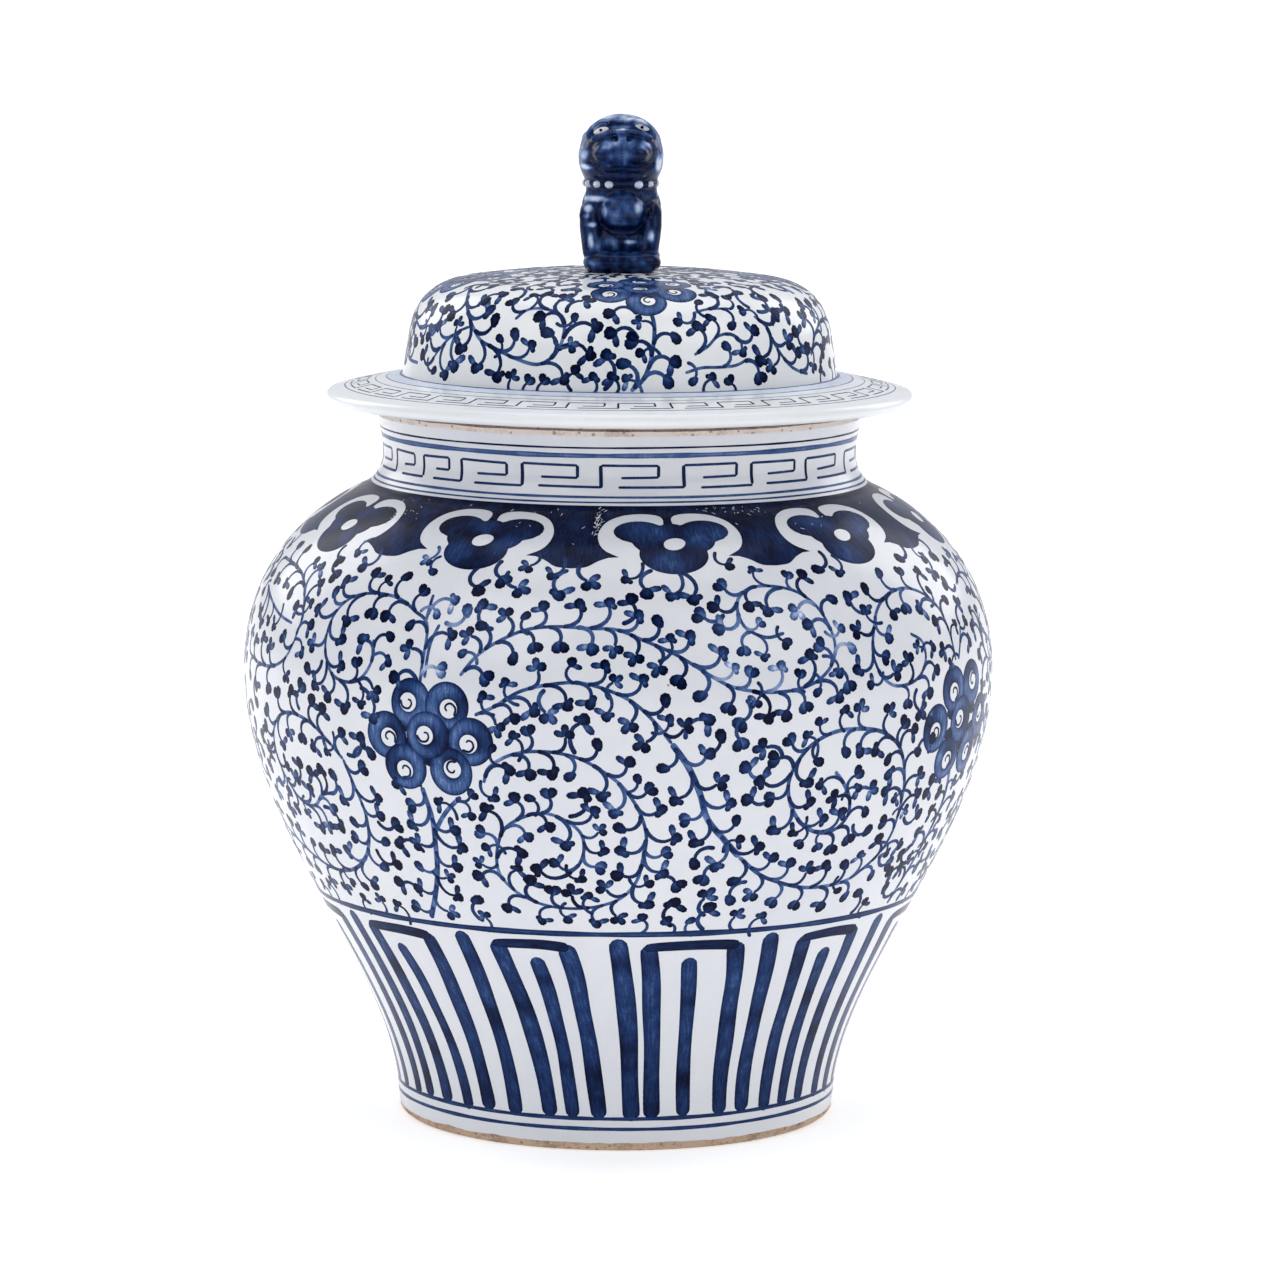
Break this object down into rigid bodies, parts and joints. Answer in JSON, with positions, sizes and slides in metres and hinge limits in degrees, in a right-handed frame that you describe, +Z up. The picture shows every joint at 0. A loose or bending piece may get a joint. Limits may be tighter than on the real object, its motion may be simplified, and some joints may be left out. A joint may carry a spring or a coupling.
{
  "type": "ginger jar",
  "caption": "Covered porcelain ginger jar, baluster body on a turned foot ring, loose domed lid with broad brim, locating ring and seated lion finial, painted in underglaze blue.",
  "frame": {"origin": "centre of the face that the foot stands on", "axes": "+Z up along the jar's axis, -Y towards the front, the way the lion looks"},
  "size_m": [0.329, 0.329, 0.4399],
  "materials": {
    "porcelain": "glossy clear glaze on cool white porcelain",
    "biscuit": "unglazed, dry and slightly gritty",
    "cobalt": "cobalt blue under a glossy clear glaze"
  },
  "bodies": {
    "jar": {"foot_ring": "biscuit", "base_plate": "porcelain", "lower_body": "porcelain", "upper_body": "porcelain", "neck_ring": "porcelain"},
    "lid": {"lid_brim": "porcelain", "lid_locating_ring": "biscuit", "lid_crown": "porcelain", "finial_base": "cobalt", "lion_front": "cobalt", "lion_back": "cobalt"}
  },
  "joints": [
    {"name": "lid_lift", "type": "slide", "parent": "jar", "child": "lid", "axis": [0, 0, 1], "range_m": [0, 0.12]}
  ]
}
